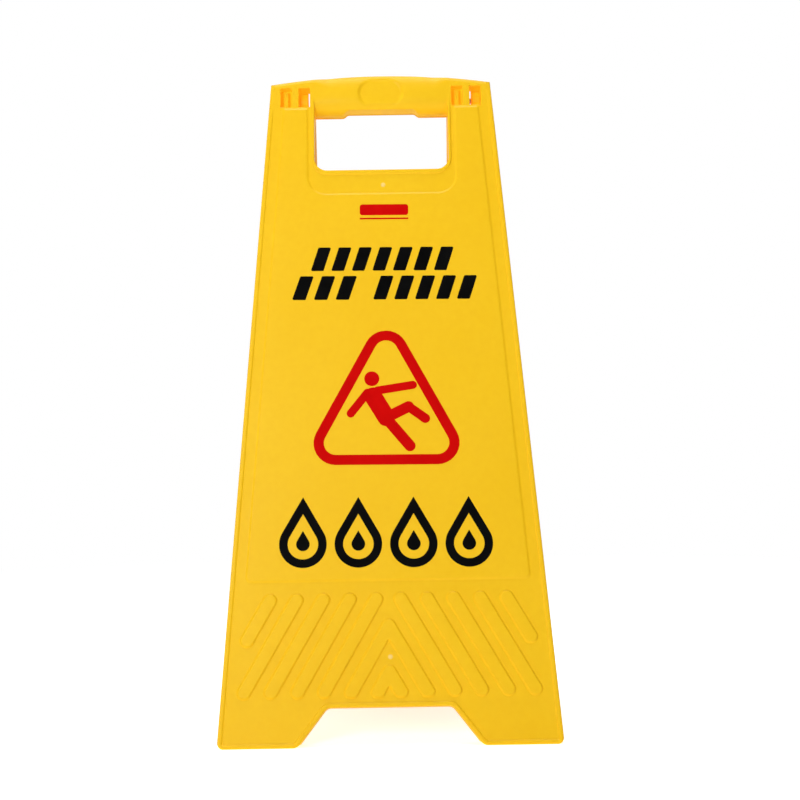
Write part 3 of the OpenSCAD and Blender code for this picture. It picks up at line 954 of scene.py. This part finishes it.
def maker_bar():
    """A plain bar over a thin line."""
    bar = ring(rectangle(-MAKER_HALF, MAKER_HALF, *MAKER_BAR, 2.5), 0, 0)
    line = ring(rectangle(-MAKER_HALF, MAKER_HALF, *MAKER_LINE, 0), 0, 0)
    return filled([bar, line])


# Materials --------------------------------------------------------------

class Nodes:
    """A material's node tree, with short calls to add and join nodes."""

    def __init__(self, name):
        self.material = bpy.data.materials.new(name)
        self.material.use_nodes = True
        self.tree = self.material.node_tree
        self.shader = self.tree.nodes["Principled BSDF"]
        self.place = self.add("ShaderNodeTexCoord").outputs["Object"]

    def add(self, kind, **values):
        made = self.tree.nodes.new(kind)
        for key, value in values.items():
            setattr(made, key, value)
        return made

    def set(self, name, value):
        """Gives one of the shader's inputs a fixed value."""
        self.shader.inputs[name].default_value = value

    def link(self, output, socket):
        self.tree.links.new(output, socket)

    def noise(self, scale, detail=4.0, roughness=0.5, stretch=(1, 1, 1)):
        """Noise between 0 and 1, with scale counted per metre."""
        mapping = self.add("ShaderNodeMapping")
        mapping.inputs["Scale"].default_value = stretch
        self.link(self.place, mapping.inputs["Vector"])
        made = self.add("ShaderNodeTexNoise")
        made.inputs["Scale"].default_value = scale
        made.inputs["Detail"].default_value = detail
        made.inputs["Roughness"].default_value = roughness
        self.link(mapping.outputs["Vector"], made.inputs["Vector"])
        return made.outputs["Fac"]

    def ramp(self, value, low, high, start=0.3, end=0.7):
        """Turns values from start to end into values from low to high, and holds them there."""
        made = self.add("ShaderNodeMapRange")
        made.inputs["From Min"].default_value = start
        made.inputs["From Max"].default_value = end
        made.inputs["To Min"].default_value = low
        made.inputs["To Max"].default_value = high
        self.link(value, made.inputs["Value"])
        return made.outputs["Result"]

    def mix(self, factor, first, second):
        """Mixes two colours, each an output or an (r, g, b)."""
        made = self.add("ShaderNodeMix", data_type="RGBA")
        self.link(factor, made.inputs["Factor"])
        for socket, colour in (("A", first), ("B", second)):
            target = next(s for s in made.inputs if s.name == socket and s.type == "RGBA")
            if isinstance(colour, tuple):
                target.default_value = (*colour, 1)
            else:
                self.link(colour, target)
        return next(s for s in made.outputs if s.type == "RGBA")

    def math(self, operation, first, second):
        made = self.add("ShaderNodeMath", operation=operation)
        for index, value in enumerate((first, second)):
            if isinstance(value, (int, float)):
                made.inputs[index].default_value = value
            else:
                self.link(value, made.inputs[index])
        return made.outputs["Value"]

    def bump(self, height, distance, strength=1.0, under=None):
        made = self.add("ShaderNodeBump")
        made.inputs["Distance"].default_value = distance
        made.inputs["Strength"].default_value = strength
        self.link(height, made.inputs["Height"])
        if under:
            self.link(under, made.inputs["Normal"])
        return made.outputs["Normal"]


def gate_blush(n):
    """1 near the moulding marks of either panel, and 0 elsewhere."""
    found = 0
    edge = GATE_BLUSH / 1000
    for y in GATE_Y:
        for turned in (False, True):
            distance = n.add("ShaderNodeVectorMath", operation="DISTANCE")
            n.link(n.place, distance.inputs[0])
            distance.inputs[1].default_value = panel_point((GATE_X, y, 0.3), turned)
            near = n.ramp(distance.outputs["Value"], 1, 0, start=edge * 0.5, end=edge)
            found = n.math("MAXIMUM", near, found)
    return found


def painted_recess_glow(n):
    """Painted glow where the plastic's own walls stand close: emission driven by ambient occlusion,
    strongest in the deepest recesses.
    """
    hidden = n.add("ShaderNodeAmbientOcclusion", samples=8)
    hidden.inputs["Distance"].default_value = RECESS_REACH / 1000
    return n.ramp(hidden.outputs["AO"], PAINTED_RECESS_GLOW, 0, start=0.0, end=0.75)


def yellow_plastic():
    """Satin moulded polypropylene: a fine grain, slight mottling, light scuffs, pale moulding marks and a
    painted glow in its recesses.
    """
    n = Nodes("yellow_plastic")
    cloudy = n.noise(7, detail=3)
    fine = n.noise(160, detail=2)
    base = n.mix(n.ramp(cloudy, 0, 1), *YELLOWS)
    base = n.mix(n.ramp(fine, 0, 0.35), base, YELLOW_GRAIN)
    n.link(n.mix(gate_blush(n), base, YELLOW_BLUSH), n.shader.inputs["Base Color"])
    scuffs = n.noise(60, detail=6, roughness=0.7, stretch=(1, 1, 5))
    satin = n.ramp(n.noise(30), 0.34, 0.42)
    scuffed = n.ramp(scuffs, 0, 0.12, start=0.55, end=0.75)
    n.link(n.math("ADD", satin, scuffed), n.shader.inputs["Roughness"])
    wavy = n.bump(n.noise(22, detail=2), distance=0.0006, strength=0.25)
    grain = n.noise(1400, detail=3, roughness=0.6)
    n.link(n.bump(grain, distance=0.00006, strength=0.6, under=wavy), n.shader.inputs["Normal"])
    # painted glow: emission that lights the recesses, strongest where ambient occlusion is deepest
    n.link(painted_recess_glow(n), n.shader.inputs["Emission Strength"])
    n.set("Emission Color", (*PAINTED_GLOW_COLOUR, 1))
    n.set("Specular IOR Level", 0.12)
    return n.material


def ink(name, shades):
    """Screen-printed ink: nearly even, a little uneven in gloss, with a faint grain."""
    n = Nodes(name)
    uneven = n.noise(45, detail=5, roughness=0.6)
    n.link(n.mix(n.ramp(uneven, 0, 1), *shades), n.shader.inputs["Base Color"])
    n.link(n.ramp(n.noise(90), 0.5, 0.62), n.shader.inputs["Roughness"])
    grain = n.noise(1100, detail=3, roughness=0.6)
    n.link(n.bump(grain, distance=0.00005, strength=0.5), n.shader.inputs["Normal"])
    n.set("Specular IOR Level", 0.02)
    return n.material


def pin_steel():
    """Drawn steel wire, with fine marks along it."""
    n = Nodes("pin_steel")
    drawn = n.noise(900, detail=3, roughness=0.6, stretch=(0.03, 1, 1))
    n.link(n.mix(n.ramp(drawn, 0, 1), *STEELS), n.shader.inputs["Base Color"])
    n.link(n.ramp(drawn, 0.25, 0.42), n.shader.inputs["Roughness"])
    n.link(n.bump(drawn, distance=0.00002, strength=0.5), n.shader.inputs["Normal"])
    n.set("Metallic", 1.0)
    return n.material


def pale_floor():
    """A pale floor that fades into the white backdrop away from the sign."""
    n = Nodes("pale_floor")
    distance = n.add("ShaderNodeVectorMath", operation="LENGTH")
    n.link(n.place, distance.inputs[0])
    fade_start, fade_end = FLOOR_FADE
    far = n.ramp(distance.outputs["Value"], 0, 1, start=fade_start, end=fade_end)
    near = n.mix(n.ramp(n.noise(3, detail=3), 0, 1), *FLOOR_GREYS)
    n.link(n.mix(far, near, BLACK), n.shader.inputs["Base Color"])
    rays = n.add("ShaderNodeLightPath")
    near_glow = n.ramp(rays.outputs["Is Camera Ray"], FLOOR_GLOW, FLOOR_WHITE, start=0, end=1)
    near_share = n.math("MULTIPLY", near_glow, n.math("SUBTRACT", 1, far))
    n.link(n.math("ADD", near_share, far), n.shader.inputs["Emission Strength"])
    n.set("Emission Color", (*WHITE, 1))
    n.set("Roughness", 0.85)
    n.set("Specular IOR Level", 0.0)
    return n.material


# Stage ------------------------------------------------------------------

def studio_world():
    """A plain pale studio: white to the camera, and dimmer in front of the sign than behind it."""
    world = bpy.data.worlds.new("studio")
    world.use_nodes = True
    tree = world.node_tree
    lighting = tree.nodes["Background"]
    backdrop = tree.nodes.new("ShaderNodeBackground")
    for background in (lighting, backdrop):
        background.inputs["Color"].default_value = (*WHITE, 1)
    place = tree.nodes.new("ShaderNodeTexCoord")
    axes = tree.nodes.new("ShaderNodeSeparateXYZ")
    shade = tree.nodes.new("ShaderNodeMapRange")
    for name, value in (("From Max", WORLD_BLEND), ("To Min", WORLD_FRONT), ("To Max", WORLD_BACK)):
        shade.inputs[name].default_value = value
    rays = tree.nodes.new("ShaderNodeLightPath")
    blend = tree.nodes.new("ShaderNodeMixShader")
    for output, socket in (
        (place.outputs["Generated"], axes.inputs["Vector"]),
        (axes.outputs["Y"], shade.inputs["Value"]),
        (shade.outputs["Result"], lighting.inputs["Strength"]),
        (rays.outputs["Is Camera Ray"], blend.inputs["Fac"]),
        (lighting.outputs["Background"], blend.inputs[1]),
        (backdrop.outputs["Background"], blend.inputs[2]),
        (blend.outputs["Shader"], tree.nodes["World Output"].inputs["Surface"]),
    ):
        tree.links.new(output, socket)
    bpy.context.scene.world = world


def area_light(name, location, target, size, power):
    light = bpy.data.lights.new(name, "AREA")
    light.shape = "DISK"
    light.size = size
    light.energy = power
    made = bpy.data.objects.new(name, light)
    made.location = location
    made.rotation_euler = (Vector(target) - Vector(location)).to_track_quat("-Z", "Y").to_euler()
    bpy.context.scene.collection.objects.link(made)


def make_floor():
    half = FLOOR_HALF
    mesh = bpy.data.meshes.new("floor")
    corners = [(-half, -half, 0), (half, -half, 0), (half, half, 0), (-half, half, 0)]
    mesh.from_pydata(corners, [], [(0, 1, 2, 3)])
    mesh.materials.append(pale_floor())
    floor = bpy.data.objects.new("floor", mesh)
    bpy.context.scene.collection.objects.link(floor)


def make_stage():
    make_floor()
    studio_world()
    area_light("key", location=(-1.0, -2.4, 1.1), target=(0, 0, 0.2), size=1.0, power=34)
    area_light("overhead", location=(-0.1, -0.1, 2.1), target=(0, 0, 0.3), size=1.0, power=18)
    scene = bpy.context.scene
    scene.cycles.max_bounces = BOUNCES
    scene.cycles.diffuse_bounces = BOUNCES
    scene.view_settings.view_transform = "Standard"
    scene.view_settings.look = "None"


def make_camera():
    """A camera a little to the right of the middle, at half the sign's height, turned as the picture is."""
    data = bpy.data.cameras.new("camera")
    data.sensor_width = 36
    data.lens = CAMERA_LENS
    camera = bpy.data.objects.new("camera", data)
    place = Matrix.Translation(CAMERA_PLACE)
    for angle, axis in ((CAMERA_TURN, "Z"), (CAMERA_TILT, "X"), (CAMERA_ROLL, "Z")):
        place = place @ Matrix.Rotation(angle, 4, axis)
    camera.matrix_world = place
    bpy.context.scene.collection.objects.link(camera)
    bpy.context.scene.camera = camera


# The sign ---------------------------------------------------------------

def build_sign():
    yellow = yellow_plastic()
    red = ink("red_ink", REDS)
    black = ink("black_ink", BLACKS)
    marks = [
        ("warning_triangle", warning_triangle(), red, "red_ink"),
        ("slip_figure", slip_figure(), red, "red_ink"),
        ("hazard_dashes", hazard_dashes(), black, "black_ink"),
        ("water_drops", water_drops(), black, "black_ink"),
        ("maker_bar", maker_bar(), red, "red_ink"),
    ]
    for body in ("front", "rear"):
        turned = body == "rear"
        pieces = [(f"{body}_panel", moulding_shell(slots=turned), yellow, "yellow_plastic")]
        pieces += [(f"{body}_{name}", shell, material, slot) for name, shell, material, slot in marks]
        for node, shell, material, slot in pieces:
            piece = make_object(f"{node}_skin", shell, material, turned)
            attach(piece, body)
            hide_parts(node)
    steel = pin_steel()
    for node in ("left_hinge_pin", "right_hinge_pin"):
        frame["nodes"][node].data.materials.clear()
        frame["nodes"][node].data.materials.append(steel)


build_sign()
make_stage()
make_camera()
